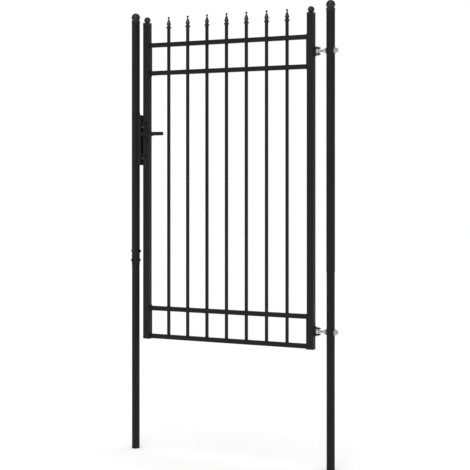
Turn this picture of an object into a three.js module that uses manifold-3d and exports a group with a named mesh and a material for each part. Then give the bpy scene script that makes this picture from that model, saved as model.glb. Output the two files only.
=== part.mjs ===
// A steel garden gate: two round posts, a picket leaf on two eye-bolt hinges, and a lock with a lever.
// Millimetres. +Z is up, +X runs from the latch post to the hinge post, and -Y is the front.
// Z = 0 is the foot of the posts, Y = 0 the mid-plane of the leaf, and X = 0 midway along the whole gate.
import * as THREE from "three";
import { mergeVertices } from "three/addons/utils/BufferGeometryUtils.js";
import Module from "manifold-3d";

// Driving dimensions.
const GAP = 0.3; // between pieces that touch

const LEAF_WIDTH = 860;
const LATCH_SIDE_GAP = 29; // latch post to latch stile
const HINGE_SIDE_GAP = 58; // hinge stile to hinge post

const POST_HEIGHT = 2040;
const POST_RADIUS = 19;
const POST_WALL = 0.8;
const LOWER_POST_RADIUS = 18;
const LOWER_POST_WALL = 1.2;
const LOWER_POST_TOP = 960;
const UPPER_POST_FOOT = 859;
const POST_BALL_RADIUS = 20.5;
const POST_CAP_FOOT = 1994;
const POST_SIDES = 32;

const STILE = 30;
const STILE_WALL = 1.5;
const STILE_FOOT = 518;
const STILE_TOP = 1988;
const STILE_CAP_FOOT = 1980;
const STILE_CAP_TOP = 1991;
const STILE_CAP_SIDE = 32;
const STILE_BALL_RADIUS = 15;
const LEAF_TOP = 2018.5;

const RAIL = 20;
const RAIL_WALL = 1.5;
const RAIL_LEVELS = {
  top_rail_upper: 1885,
  top_rail_lower: 1755,
  bottom_rail_upper: 661,
  bottom_rail_lower: 531,
};
const END_PLATE_THICKNESS = 2.3;
const END_PLATE_OVERHANG = 3.5; // past the outer faces of the two rails it joins

const PICKET = 12;
const PICKET_WALL = 1.2;
const PICKET_PITCH = 100;
const PICKET_COUNT = 7;
const FINIAL_FOOT = 1957;
const FINIAL_SIDES = 12;

const HINGE_OFFSET = 15; // hinge stile's outer face to the hinge axis
const HINGE_LEVELS = { upper: 1820, lower: 598 };
const PIN_RADIUS = 5;
const EYE_RADIUS = 9.5;
const EYE_HEIGHT = 22;
const BRACKET_PLATE = 3;
const BRACKET_HEIGHT = 42;
const EAR_THICKNESS = 4;
const EYE_BOLT_RADIUS = 6;
const EYE_BOLT_PAST_POST = 16;
const HINGE_NUT_FLATS = 19;
const HINGE_NUT_HEIGHT = 9;
const WASHER_THICKNESS = 2.5;

const JOINT_BOLT_RADIUS = 4;
const JOINT_BOLTS = {
  post_joint_bolt_upper: { level: 925, turn: 0, nut_height: 6.6 },
  post_joint_bolt_lower: { level: 882, turn: 57, nut_height: 4 },
};

const SPINDLE_LEVEL = 1472;
const SPINDLE_SIDE = 8;
const LEVER_REACH = 106.5; // spindle axis to the tip
const LEVER_THICKNESS = 10;
const LEVER_STANDOFF = 18; // stile's face to the back of the lever's blade
const LEVER_HUB_RADIUS = 9.3;
const LEVER_TIP_HEIGHT = 16.4;
const LEVER_TIP_CORNER = 4;
const LEVER_ROOT_HEIGHT = 18.6;
const KNOB_RADIUS = 9;
const HANDLE_PLATE = { width: 26, height: 64, thickness: 3, level: 1469 };

const CYLINDER_LEVEL = 1340.5; // axis of the plug
const CYLINDER_ROUND_RADIUS = 8.5;
const CYLINDER_TAIL = 24.5; // plug axis to the bottom of the cylinder body
const CYLINDER_LENGTH = 33;
const PLUG_RADIUS = 6.5;

const LATCH_LEVEL = 1521;
const DEADBOLT_LEVEL = 1370;
const BOLT_THROW = 21; // bolt's tip past the stile's outer face when it is out
const BOLT_LENGTH = 26;
const BOLT_THICKNESS = 11;
const LATCH_HEIGHT = 29;
const DEADBOLT_HEIGHT = 27;
const CASE = { depth: 25.8, thickness: 25, wall: 1.5, foot: 1308, top: 1545 };

const KEEP = { width: 20, depth: 38, wall: 2, foot: 1327, top: 1562 };
const KEEP_NOTCH_MARGIN = 0.8; // above and below each bolt

// Places worked out from the driving dimensions, in the leaf's own frame (X = 0 at the middle picket).
const LATCH_STILE_X = -(LEAF_WIDTH - STILE) / 2;
const HINGE_STILE_X = -LATCH_STILE_X;
const LATCH_FACE_X = -LEAF_WIDTH / 2;
const LATCH_POST_X = LATCH_FACE_X - LATCH_SIDE_GAP - POST_RADIUS;
const HINGE_POST_X = LEAF_WIDTH / 2 + HINGE_SIDE_GAP + POST_RADIUS;
const HINGE_X = LEAF_WIDTH / 2 + HINGE_OFFSET;
const EYE_BOLT_END_X = HINGE_POST_X + POST_RADIUS + EYE_BOLT_PAST_POST;
const JOINT_BOLT_HEAD = 6;
const LOW_X = LATCH_POST_X - POST_RADIUS - JOINT_BOLT_HEAD;
const MIDDLE_X = (LOW_X + EYE_BOLT_END_X) / 2;
const RAIL_LENGTH = LEAF_WIDTH - 2 * (STILE + END_PLATE_THICKNESS + 2 * GAP);
const THROUGH = 100; // length of a cutter that goes right through

const wasm = await Module();
wasm.setup();

// Solids: joins and cuts.
function solidOf(geometry) {
  const plain = (geometry.index ? geometry.toNonIndexed() : geometry).clone();
  plain.deleteAttribute("normal");
  plain.deleteAttribute("uv");
  const merged = mergeVertices(plain, 1e-4);
  return new wasm.Manifold(
    new wasm.Mesh({
      numProp: 3,
      vertProperties: merged.attributes.position.array,
      triVerts: new Uint32Array(merged.index.array),
    }),
  );
}

function geometryOf(solid) {
  const mesh = solid.getMesh();
  const positions = new Float32Array(mesh.numVert * 3);
  for (let i = 0; i < mesh.numVert; i++) {
    positions.set(mesh.vertProperties.subarray(i * mesh.numProp, i * mesh.numProp + 3), i * 3);
  }
  const geometry = new THREE.BufferGeometry();
  geometry.setAttribute("position", new THREE.BufferAttribute(positions, 3));
  geometry.setIndex(new THREE.BufferAttribute(new Uint32Array(mesh.triVerts), 1));
  geometry.computeVertexNormals();
  return geometry;
}

function cut(geometry, ...tools) {
  return geometryOf(tools.reduce((solid, tool) => solid.subtract(solidOf(tool)), solidOf(geometry)));
}

function join(geometry, ...others) {
  return geometryOf(others.reduce((solid, other) => solid.add(solidOf(other)), solidOf(geometry)));
}

// Basic shapes.
function block(sizeX, sizeY, sizeZ, x = 0, y = 0, z = 0) {
  return new THREE.BoxGeometry(sizeX, sizeY, sizeZ).translate(x, y, z);
}

function uprightRod(radius, from, to, sides = 24) {
  return new THREE.CylinderGeometry(radius, radius, to - from, sides)
    .rotateX(Math.PI / 2)
    .translate(0, 0, (from + to) / 2);
}

function rodAlongX(radius, from, to, sides = 24) {
  return uprightRod(radius, from, to, sides).rotateY(Math.PI / 2);
}

function rodAlongY(radius, from, to, sides = 24) {
  return uprightRod(radius, -to, -from, sides).rotateX(Math.PI / 2);
}

function turned(profile, sides) {
  const points = profile.map(([radius, height]) => new THREE.Vector2(radius, height));
  return new THREE.LatheGeometry(points, sides).rotateX(Math.PI / 2);
}

// Points on a ball's outline from where its radius is `neck` at the bottom up to its top.
function ballOutline(radius, centre, neck, steps) {
  const start = -Math.acos(neck / radius);
  const points = [];
  for (let i = 0; i <= steps; i++) {
    const angle = start + ((Math.PI / 2 - start) * i) / steps;
    points.push([i === steps ? 0 : radius * Math.cos(angle), centre + radius * Math.sin(angle)]);
  }
  return points;
}

function roundTube(radius, wall, from, to) {
  return cut(
    uprightRod(radius, from, to, POST_SIDES),
    uprightRod(radius - wall, from - 1, to + 1, POST_SIDES),
  );
}

function squareTube(side, wall, from, to) {
  const middle = (from + to) / 2;
  return cut(
    block(side, side, to - from, 0, 0, middle),
    block(side - 2 * wall, side - 2 * wall, to - from + 2, 0, 0, middle),
  );
}

function hexAlongX(flats, from, to, boreRadius) {
  const cornerRadius = flats / 2 / Math.cos(Math.PI / 6);
  return cut(rodAlongX(cornerRadius, from, to, 6), rodAlongX(boreRadius, from - 1, to + 1));
}

function washerAlongX(radius, boreRadius, from) {
  const to = from + WASHER_THICKNESS;
  return cut(rodAlongX(radius, from, to), rodAlongX(boreRadius, from - 1, to + 1));
}

// Materials.
const finish = (color, roughness, metalness) =>
  new THREE.MeshStandardMaterial({ color, roughness, metalness });
const powderCoat = finish(0x202224, 0.5, 0.3);
const moulding = finish(0x17181a, 0.45, 0);
const zinc = finish(0xb9bdc0, 0.35, 0.9);
const lockSteel = finish(0x8c8f92, 0.4, 0.9);

function piece(parent, name, geometry, material, x = 0, y = 0, z = 0) {
  const mesh = new THREE.Mesh(geometry, material);
  mesh.name = name;
  mesh.position.set(x, y, z);
  parent.add(mesh);
  return mesh;
}

function groupAt(parent, x, y, z) {
  const group = new THREE.Group();
  group.position.set(x, y, z);
  parent.add(group);
  return group;
}

const gate = new THREE.Group();
const frame = groupAt(gate, -MIDDLE_X, 0, 0);

// Posts: an upper tube sleeved over a lower one, closed by a ball cap.
function postBallCap() {
  const tubeTop = POST_CAP_FOOT + 8;
  const skirtInside = POST_RADIUS + GAP;
  const skirtOutside = skirtInside + 0.8;
  const neck = 17;
  return turned(
    [
      [0, tubeTop + GAP],
      [skirtInside, tubeTop + GAP],
      [skirtInside, POST_CAP_FOOT],
      [skirtOutside, POST_CAP_FOOT],
      [skirtOutside, tubeTop + 1.5],
      [neck, tubeTop + 3],
      ...ballOutline(POST_BALL_RADIUS, POST_HEIGHT - POST_BALL_RADIUS, neck, 8),
    ],
    POST_SIDES,
  );
}

function addPost(side, x, upperHoles, lowerHoles) {
  const upper = roundTube(POST_RADIUS, POST_WALL, UPPER_POST_FOOT, POST_CAP_FOOT + 8);
  const lower = roundTube(LOWER_POST_RADIUS, LOWER_POST_WALL, 0, LOWER_POST_TOP);
  piece(frame, `${side}_post_upper_tube`, cut(upper, ...upperHoles), powderCoat, x);
  piece(frame, `${side}_post_lower_tube`, cut(lower, ...lowerHoles), powderCoat, x);
  piece(frame, `${side}_post_ball_cap`, postBallCap(), moulding, x);
}

function crossHole(radius, level, turn = 0) {
  const hole = rodAlongX(radius, -THROUGH / 2, THROUGH / 2, 16);
  return hole.rotateZ(THREE.MathUtils.degToRad(turn)).translate(0, 0, level);
}

const eyeBoltHole = (level) => [crossHole(EYE_BOLT_RADIUS + 0.5, level)];
addPost("hinge", HINGE_POST_X, eyeBoltHole(HINGE_LEVELS.upper), eyeBoltHole(HINGE_LEVELS.lower));

const jointBoltHoles = Object.values(JOINT_BOLTS).map(({ level, turn }) =>
  crossHole(JOINT_BOLT_RADIUS + 0.4, level, turn),
);
addPost("latch", LATCH_POST_X, jointBoltHoles, jointBoltHoles);

// A through bolt at the sleeve joint: a domed head on the outer side and a nut on the inner side.
function jointBolt(nutHeight) {
  const seat = POST_RADIUS + GAP;
  const headRadius = 6.5;
  const headHeight = JOINT_BOLT_HEAD - GAP;
  const domeRadius = (headRadius ** 2 + headHeight ** 2) / (2 * headHeight);
  const dome = ballOutline(domeRadius, seat + headHeight - domeRadius, headRadius, 5).filter(
    ([, height]) => height > seat,
  );
  const head = turned([[0, seat], [headRadius, seat], ...dome], 20).rotateY(-Math.PI / 2);
  const shank = rodAlongX(JOINT_BOLT_RADIUS, -seat - 1, seat + 1, 16);
  const nutCorner = 13 / 2 / Math.cos(Math.PI / 6);
  return join(shank, head, rodAlongX(nutCorner, seat, seat + nutHeight, 6));
}

for (const [name, { level, turn, nut_height }] of Object.entries(JOINT_BOLTS)) {
  const bolt = piece(frame, name, jointBolt(nut_height), moulding, LATCH_POST_X, 0, level);
  bolt.rotation.z = THREE.MathUtils.degToRad(turn);
}

// Strike keep: a folded channel on the latch post, open towards the leaf.
// Its back flange is notched where the bolts pass when the leaf swings away to the back.
function strikeKeep() {
  const { width, depth, wall, foot, top } = KEEP;
  const height = top - foot;
  const middle = (top + foot) / 2;
  const channel = cut(
    block(width, depth, height, width / 2, 0, middle),
    block(width, depth - 2 * wall, height + 2, width / 2 + wall, 0, middle),
  );
  const notch = (level, boltHeight) =>
    block(width, THROUGH, boltHeight + 2 * KEEP_NOTCH_MARGIN, width / 2 + wall + GAP, THROUGH / 2, level);
  return cut(channel, notch(LATCH_LEVEL, LATCH_HEIGHT), notch(DEADBOLT_LEVEL, DEADBOLT_HEIGHT));
}

piece(frame, "strike_keep", strikeKeep(), powderCoat, LATCH_POST_X + POST_RADIUS + GAP);

// Hinges: an eye bolt through the post, held by a nut and washer on each side,
// and a clevis bracket with a pin on the hinge stile.
function eyeBolt(endX) {
  const half = EYE_HEIGHT / 2;
  const barrel = join(uprightRod(EYE_RADIUS, -half, half), rodAlongX(EYE_BOLT_RADIUS, 0, endX));
  return cut(barrel, uprightRod(PIN_RADIUS + 0.25, -half - 1, half + 1));
}

function hingeBracket() {
  const earInside = EYE_HEIGHT / 2 + 0.4;
  const plateLow = -HINGE_OFFSET + GAP;
  const plate = block(BRACKET_PLATE, STILE, BRACKET_HEIGHT, plateLow + BRACKET_PLATE / 2);
  const ear = (from) =>
    join(
      uprightRod(STILE / 2, from, from + EAR_THICKNESS),
      block(-plateLow, STILE, EAR_THICKNESS, plateLow / 2, 0, from + EAR_THICKNESS / 2),
    );
  return cut(
    join(plate, ear(earInside), ear(-earInside - EAR_THICKNESS)),
    uprightRod(PIN_RADIUS + 0.25, -THROUGH / 2, THROUGH / 2),
  );
}

function hingePin() {
  const earOutside = EYE_HEIGHT / 2 + 0.4 + EAR_THICKNESS + GAP;
  return join(
    uprightRod(PIN_RADIUS, -earOutside - 1, earOutside + 1),
    uprightRod(8, earOutside, earOutside + 5, 6),
    uprightRod(8, -earOutside - 5, -earOutside, 6),
  );
}

const leaf = groupAt(frame, 0, 0, 0);

for (const [level, z] of Object.entries(HINGE_LEVELS)) {
  const postX = HINGE_POST_X - HINGE_X;
  const innerWasherX = postX - POST_RADIUS - GAP - WASHER_THICKNESS;
  const innerNutX = innerWasherX - GAP - HINGE_NUT_HEIGHT;
  const outerWasherX = postX + POST_RADIUS + GAP;
  const outerNutX = outerWasherX + WASHER_THICKNESS + GAP;
  const bore = EYE_BOLT_RADIUS + 0.3;
  const fixed = groupAt(frame, HINGE_X, 0, z);
  const nut = (from) => hexAlongX(HINGE_NUT_FLATS, from, from + HINGE_NUT_HEIGHT, bore);
  piece(fixed, `${level}_eye_bolt`, eyeBolt(EYE_BOLT_END_X - HINGE_X), zinc);
  piece(fixed, `${level}_eye_bolt_inner_nut`, nut(innerNutX), zinc);
  piece(fixed, `${level}_eye_bolt_inner_washer`, washerAlongX(13, bore, innerWasherX), zinc);
  piece(fixed, `${level}_eye_bolt_outer_washer`, washerAlongX(15, bore, outerWasherX), zinc);
  piece(fixed, `${level}_eye_bolt_outer_nut`, nut(outerNutX), zinc);
  const moving = groupAt(leaf, HINGE_X, 0, z);
  piece(moving, `${level}_hinge_bracket`, hingeBracket(), powderCoat);
  piece(moving, `${level}_hinge_pin`, hingePin(), zinc);
}

// Stiles: square tubes with moulded ball caps.
function stileCap() {
  const inside = STILE + 2 * GAP;
  const skirt = cut(
    block(STILE_CAP_SIDE, STILE_CAP_SIDE, STILE_CAP_TOP - STILE_CAP_FOOT, 0, 0,
      (STILE_CAP_TOP + STILE_CAP_FOOT) / 2),
    block(inside, inside, 2 * (STILE_TOP + GAP - STILE_CAP_FOOT), 0, 0, STILE_CAP_FOOT),
  );
  const neck = 10;
  const ball = turned(
    [
      [0, STILE_CAP_TOP - 1],
      [neck, STILE_CAP_TOP - 1],
      [neck, STILE_CAP_TOP + 1],
      ...ballOutline(STILE_BALL_RADIUS, LEAF_TOP - STILE_BALL_RADIUS, neck, 7),
    ],
    20,
  );
  return join(skirt, ball);
}

// Outline of the profile cylinder, grown by `margin`, run along Y through the stile.
function cylinderBody(margin, length) {
  const round = rodAlongY(CYLINDER_ROUND_RADIUS + margin, -length / 2, length / 2);
  const tailRadius = 5 + margin;
  const tailEnd = -CYLINDER_TAIL + 5;
  const tail = block(2 * tailRadius, length, -tailEnd, 0, 0, tailEnd / 2);
  const tailRound = rodAlongY(tailRadius, -length / 2, length / 2).translate(0, 0, tailEnd);
  return join(round, tail, tailRound);
}

function boltSlot(margin, boltHeight, reach) {
  return block(reach, BOLT_THICKNESS + 2 * margin, boltHeight + 2 * margin, -reach / 2);
}

// Cutters for what passes through the latch stile, about the stile's centre line.
function lockCutters(margin) {
  return [
    rodAlongY(SPINDLE_SIDE, -THROUGH / 2, THROUGH / 2).translate(0, 0, SPINDLE_LEVEL),
    cylinderBody(margin, THROUGH).translate(0, 0, CYLINDER_LEVEL),
  ];
}

const stileTube = squareTube(STILE, STILE_WALL, STILE_FOOT, STILE_TOP);
const latchStile = cut(
  stileTube,
  ...lockCutters(0.5),
  boltSlot(0.6, LATCH_HEIGHT, STILE).translate(0, 0, LATCH_LEVEL),
  boltSlot(0.6, DEADBOLT_HEIGHT, STILE).translate(0, 0, DEADBOLT_LEVEL),
);
piece(leaf, "latch_stile", latchStile, powderCoat, LATCH_STILE_X);
piece(leaf, "hinge_stile", stileTube, powderCoat, HINGE_STILE_X);
piece(leaf, "latch_stile_ball_cap", stileCap(), moulding, LATCH_STILE_X);
piece(leaf, "hinge_stile_ball_cap", stileCap(), moulding, HINGE_STILE_X);

// Rails, pierced for the pickets. The lowest one carries the pickets on its top face.
const picketPlaces = Array.from(
  { length: PICKET_COUNT },
  (_, i) => (i - (PICKET_COUNT - 1) / 2) * PICKET_PITCH,
);
for (const [name, level] of Object.entries(RAIL_LEVELS)) {
  const tube = squareTube(RAIL, RAIL_WALL, -RAIL_LENGTH / 2, RAIL_LENGTH / 2).rotateY(Math.PI / 2);
  const hole = PICKET + 2 * GAP;
  const pierced =
    name === "bottom_rail_lower"
      ? tube
      : cut(tube, ...picketPlaces.map((x) => block(hole, hole, THROUGH, x)));
  piece(leaf, name, pierced, powderCoat, 0, 0, level);
}

// End plates, one at each end of each pair of rails, flat against the stiles.
const END_PLATE_X = HINGE_STILE_X - STILE / 2 - GAP - END_PLATE_THICKNESS / 2;
for (const pair of ["top", "bottom"]) {
  const upper = RAIL_LEVELS[`${pair}_rail_upper`];
  const lower = RAIL_LEVELS[`${pair}_rail_lower`];
  const height = upper - lower + RAIL + 2 * END_PLATE_OVERHANG;
  for (const [side, sign] of [["latch", -1], ["hinge", 1]]) {
    const plate = block(END_PLATE_THICKNESS, STILE, height);
    piece(leaf, `${pair}_${side}_end_plate`, plate, powderCoat, sign * END_PLATE_X, 0, (upper + lower) / 2);
  }
}

// Pickets, each with a cast spear finial on top.
function finial() {
  const tipRadius = 5;
  const tipCentre = 51.8;
  return turned(
    [
      [0, 0],
      [8.5, 0],
      [8.5, 2.5],
      [12.2, 5],
      [12.2, 10],
      [8, 12.5],
      [7, 15],
      [9.8, 20],
      [10, 22.5],
      [7.6, 31],
      [2.4, 44.5],
      [2.4, 46.8],
      ...ballOutline(tipRadius, tipCentre, 2.6, 4),
    ],
    FINIAL_SIDES,
  );
}

const picketFoot = RAIL_LEVELS.bottom_rail_lower + RAIL / 2 + GAP;
picketPlaces.forEach((x, i) => {
  const picket = squareTube(PICKET, PICKET_WALL, picketFoot, FINIAL_FOOT - GAP);
  piece(leaf, `picket_${i + 1}`, picket, powderCoat, x);
  piece(leaf, `spear_finial_${i + 1}`, finial(), powderCoat, x, 0, FINIAL_FOOT);
});

// Lock case inside the latch stile, with channels for the two bolts.
const lock = groupAt(leaf, LATCH_STILE_X, 0, 0);
const caseHeight = CASE.top - CASE.foot;
const channelReach = CASE.depth - CASE.wall;
const channelEnd = CASE.depth / 2 - CASE.wall;
const lockCase = cut(
  block(CASE.depth, CASE.thickness, caseHeight, 0, 0, (CASE.top + CASE.foot) / 2),
  ...lockCutters(0.5),
  boltSlot(0.4, LATCH_HEIGHT, channelReach).translate(channelEnd, 0, LATCH_LEVEL),
  boltSlot(0.4, DEADBOLT_HEIGHT, channelReach).translate(channelEnd, 0, DEADBOLT_LEVEL),
);
piece(lock, "lock_case", lockCase, lockSteel);

// Bolts, shown out. The latch bolt's tip slopes on the front side, so that it slams shut.
const boltTipX = -STILE / 2 - BOLT_THROW;
function boltBar(height) {
  return block(BOLT_LENGTH, BOLT_THICKNESS, height, boltTipX + BOLT_LENGTH / 2);
}

const slope = new THREE.Shape();
slope.moveTo(boltTipX - 1, -BOLT_THICKNESS);
slope.lineTo(boltTipX + BOLT_THICKNESS, -BOLT_THICKNESS);
slope.lineTo(boltTipX - 1, BOLT_THICKNESS / 2 - 1);
const slopeCutter = new THREE.ExtrudeGeometry(slope, { depth: THROUGH, bevelEnabled: false });
slopeCutter.translate(0, 0, -THROUGH / 2);
piece(lock, "latch_bolt", cut(boltBar(LATCH_HEIGHT), slopeCutter), lockSteel, 0, 0, LATCH_LEVEL);
piece(lock, "deadbolt", boltBar(DEADBOLT_HEIGHT), lockSteel, 0, 0, DEADBOLT_LEVEL);

// Profile cylinder and its plug.
const plugBore = rodAlongY(PLUG_RADIUS + 0.3, -THROUGH / 2, THROUGH / 2);
const cylinder = cut(cylinderBody(0, CYLINDER_LENGTH), plugBore);
piece(lock, "lock_cylinder", cylinder, lockSteel, 0, 0, CYLINDER_LEVEL);
const plug = rodAlongY(PLUG_RADIUS, -CYLINDER_LENGTH / 2, CYLINDER_LENGTH / 2);
piece(lock, "cylinder_plug", plug, lockSteel, 0, 0, CYLINDER_LEVEL);

// Handles: a plate on each face, a lever at the front and a knob at the rear, on one square spindle.
// `side` is -1 for the front plate and 1 for the rear one.
function handlePlate(side) {
  const { width, height, thickness } = HANDLE_PLATE;
  const low = STILE / 2 + GAP;
  const middleY = side * (low + thickness / 2);
  const straight = height - width;
  const disc = rodAlongY(width / 2, middleY - thickness / 2, middleY + thickness / 2);
  const plate = join(
    block(width, thickness, straight, 0, middleY),
    disc.clone().translate(0, 0, straight / 2),
    disc.translate(0, 0, -straight / 2),
  );
  const spindleHole = rodAlongY(SPINDLE_SIDE, -THROUGH, THROUGH);
  return cut(plate, spindleHole.translate(0, 0, SPINDLE_LEVEL - HANDLE_PLATE.level));
}

// Both handles stand off their plate on a round neck, and take the end of the spindle in a square socket.
const handleLow = STILE / 2 + HANDLE_PLATE.thickness + 2 * GAP;
const handleBladeLow = STILE / 2 + LEVER_STANDOFF;
const handleHigh = handleBladeLow + LEVER_THICKNESS;
const socketSide = SPINDLE_SIDE + 2 * GAP;
const socket = block(socketSide, 2 * handleBladeLow, socketSide);

function frontLever() {
  const hub = rodAlongY(LEVER_HUB_RADIUS, -handleHigh, -handleLow);
  const half = LEVER_TIP_HEIGHT / 2;
  const corner = LEVER_TIP_CORNER;
  const cornerX = LEVER_REACH - corner;
  const outline = new THREE.Shape();
  outline.moveTo(0, -LEVER_ROOT_HEIGHT / 2);
  outline.lineTo(cornerX, -half);
  outline.absarc(cornerX, corner - half, corner, -Math.PI / 2, 0, false);
  outline.absarc(cornerX, half - corner, corner, 0, Math.PI / 2, false);
  outline.lineTo(0, LEVER_ROOT_HEIGHT / 2);
  const blade = new THREE.ExtrudeGeometry(outline, {
    depth: LEVER_THICKNESS,
    bevelEnabled: false,
    curveSegments: 4,
  });
  blade.rotateX(Math.PI / 2).translate(0, -handleBladeLow, 0);
  return cut(join(hub, blade), socket);
}

// A slim turning knob, on the same spindle as the lever.
function rearKnob() {
  const profile = [
    [0, handleLow],
    [7.5, handleLow],
    [7.5, handleLow + 7],
    [KNOB_RADIUS, handleLow + 10],
    [KNOB_RADIUS, handleHigh - 2],
    [KNOB_RADIUS - 2, handleHigh],
    [0, handleHigh],
  ];
  return cut(turned(profile, 24).rotateX(-Math.PI / 2), socket);
}

piece(lock, "front_handle_plate", handlePlate(-1), moulding, 0, 0, HANDLE_PLATE.level);
piece(lock, "rear_handle_plate", handlePlate(1), moulding, 0, 0, HANDLE_PLATE.level);
const handle = groupAt(lock, 0, 0, SPINDLE_LEVEL);
const spindleLength = 2 * (STILE / 2 + LEVER_STANDOFF - GAP);
piece(handle, "spindle", block(SPINDLE_SIDE, spindleLength, SPINDLE_SIDE), lockSteel);
piece(handle, "front_lever", frontLever(), moulding);
piece(handle, "rear_knob", rearKnob(), moulding);

export default gate;
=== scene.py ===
"""A garden gate: two round steel posts, a picket leaf with cast finials, eye-bolt hinges and a lever lock.

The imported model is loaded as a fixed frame, and every visible piece is built to the places that it gives.
Lengths are in metres, +Z is up and -Y is the front.
"""

import math

import bmesh
import bpy
from bpy.props import FloatProperty, FloatVectorProperty, PointerProperty
from mathutils import Matrix, Vector


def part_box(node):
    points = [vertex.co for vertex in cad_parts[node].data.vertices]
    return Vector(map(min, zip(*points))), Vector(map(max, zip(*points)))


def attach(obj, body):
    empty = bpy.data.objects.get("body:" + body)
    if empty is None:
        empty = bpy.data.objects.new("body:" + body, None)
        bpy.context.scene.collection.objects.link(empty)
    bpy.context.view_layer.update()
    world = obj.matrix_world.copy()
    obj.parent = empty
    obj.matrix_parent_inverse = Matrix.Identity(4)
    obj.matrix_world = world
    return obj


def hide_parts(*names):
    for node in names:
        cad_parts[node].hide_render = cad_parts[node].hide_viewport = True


bl_info = {
    "name": "Garden Gate",
    "version": (1, 0, 0),
    "blender": (4, 5, 0),
    "location": "3D View > Sidebar > Gate",
    "description": "Builds the visible pieces of a steel garden gate around its packed frame",
    "category": "Object",
}

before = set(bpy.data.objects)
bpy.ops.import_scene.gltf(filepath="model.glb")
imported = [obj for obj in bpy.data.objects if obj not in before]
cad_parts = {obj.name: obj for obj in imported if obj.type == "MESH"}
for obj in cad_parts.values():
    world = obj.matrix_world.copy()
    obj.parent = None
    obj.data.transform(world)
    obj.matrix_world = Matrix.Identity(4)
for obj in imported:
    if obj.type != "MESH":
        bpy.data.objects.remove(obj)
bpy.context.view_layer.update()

MM = 0.001
FULL_TURN = 2 * math.pi
ALONG_X = Matrix.Rotation(math.pi / 2, 4, "Y")
ALONG_Y = Matrix.Rotation(-math.pi / 2, 4, "X")
HALF_TURN_X = Matrix.Rotation(math.pi, 4, "X")
OUTWARDS = {1: ALONG_Y, -1: HALF_TURN_X @ ALONG_Y}  # from the rear face and from the front face
SMOOTH_ANGLE = math.radians(32)
RAILS = ("top_rail_upper", "top_rail_lower", "bottom_rail_upper", "bottom_rail_lower")
PICKETS = [f"picket_{i}" for i in range(1, 8)]
FINIALS = [f"spear_finial_{i}" for i in range(1, 8)]


# Settings.


def length_property(name, description, default):
    return FloatProperty(
        name=name, description=description, default=default, min=0.0, precision=5, unit="LENGTH"
    )


def colour_property(name, description, default):
    return FloatVectorProperty(
        name=name, description=description, default=default, size=3, min=0.0, max=1.0, subtype="COLOR"
    )


class GateSizes(bpy.types.PropertyGroup):
    """Sizes that the frame's boxes don't give."""

    post_wall: length_property("Post wall", "Wall of the upper post tubes", 0.8 * MM)
    lower_post_wall: length_property("Lower post wall", "Wall of the lower post tubes", 1.2 * MM)
    stile_wall: length_property("Tube wall", "Wall of the square tubes", 1.5 * MM)
    stile_corner: length_property("Stile corner", "Outside corner radius of the stiles", 1.3 * MM)
    rail_corner: length_property("Rail corner", "Outside corner radius of the rails", 1.0 * MM)
    picket_corner: length_property("Picket corner", "Outside corner radius of the pickets", 0.8 * MM)
    edge: length_property("Edge break", "Rounding of cut and punched edges", 0.35 * MM)
    bead: length_property("Weld bead", "Half width of a weld bead", 1.3 * MM)
    thread_pitch: length_property("Thread pitch", "Pitch of the hinge bolts' thread", 1.75 * MM)
    joint_turn: FloatProperty(
        name="Lower joint bolt turn",
        description="Turn of the lower bolt of the sleeve joint about the post",
        default=math.radians(57),
        subtype="ANGLE",
    )
    lever_root: length_property("Lever root", "Height of the lever's blade at its root", 18.6 * MM)


class GateFinishes(bpy.types.PropertyGroup):
    """Colours and textures of the finishes."""

    coat: colour_property("Powder coat", "Black powder coat", (0.0074, 0.0076, 0.0078))
    casting: colour_property("Casting", "Coat on the cast finials", (0.0030, 0.0031, 0.0032))
    moulding: colour_property("Moulding", "Black moulded caps", (0.0035, 0.0035, 0.0037))
    lever: colour_property("Lever", "Black coated lever, knob and plates", (0.0056, 0.0056, 0.0058))
    bolt: colour_property("Black bolts", "Black zinc on the joint bolts", (0.016, 0.016, 0.017))
    zinc: colour_property("Zinc", "Bright zinc on the hinge bolts", (0.57, 0.57, 0.57))
    lock_steel: colour_property("Lock steel", "Dark steel of the bolts and case", (0.032, 0.032, 0.034))
    cylinder: colour_property("Cylinder", "Black nickel of the lock cylinder", (0.045, 0.045, 0.048))
    coat_grain: length_property("Coat grain", "Size of the powder coat's fine texture", 1.1 * MM)


class GateStage(bpy.types.PropertyGroup):
    """Camera and lights."""

    azimuth: FloatProperty(
        name="Azimuth",
        description="Camera's turn round the gate, from the front towards the hinge post",
        default=math.radians(26.6),
        subtype="ANGLE",
    )
    distance: length_property("Distance", "From the middle of the camera's path to the camera", 5.513)
    eye_level: length_property("Eye level", "Camera's height over the foot of the posts", 1.268)
    aim: length_property("Aim", "Where the camera's axis crosses the leaf, past the middle picket", 0.043)
    lens: FloatProperty(name="Lens", description="Focal length in millimetres", default=93.7, min=1.0)
    rise: FloatProperty(
        name="Rise", description="Vertical shift that keeps the posts upright", default=-0.1217
    )


# Node trees.


class Wire:
    """A socket that takes part in arithmetic: each operator adds a Math node to its tree."""

    def __init__(self, tree, socket):
        self.tree = tree
        self.socket = socket

    def math(self, operation, *values):
        return self.tree.add("ShaderNodeMath", {"operation": operation}, dict(enumerate(values)))

    def __add__(self, other):
        return self.math("ADD", self, other)

    def __mul__(self, other):
        return self.math("MULTIPLY", self, other)

    __radd__ = __add__
    __rmul__ = __mul__


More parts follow.
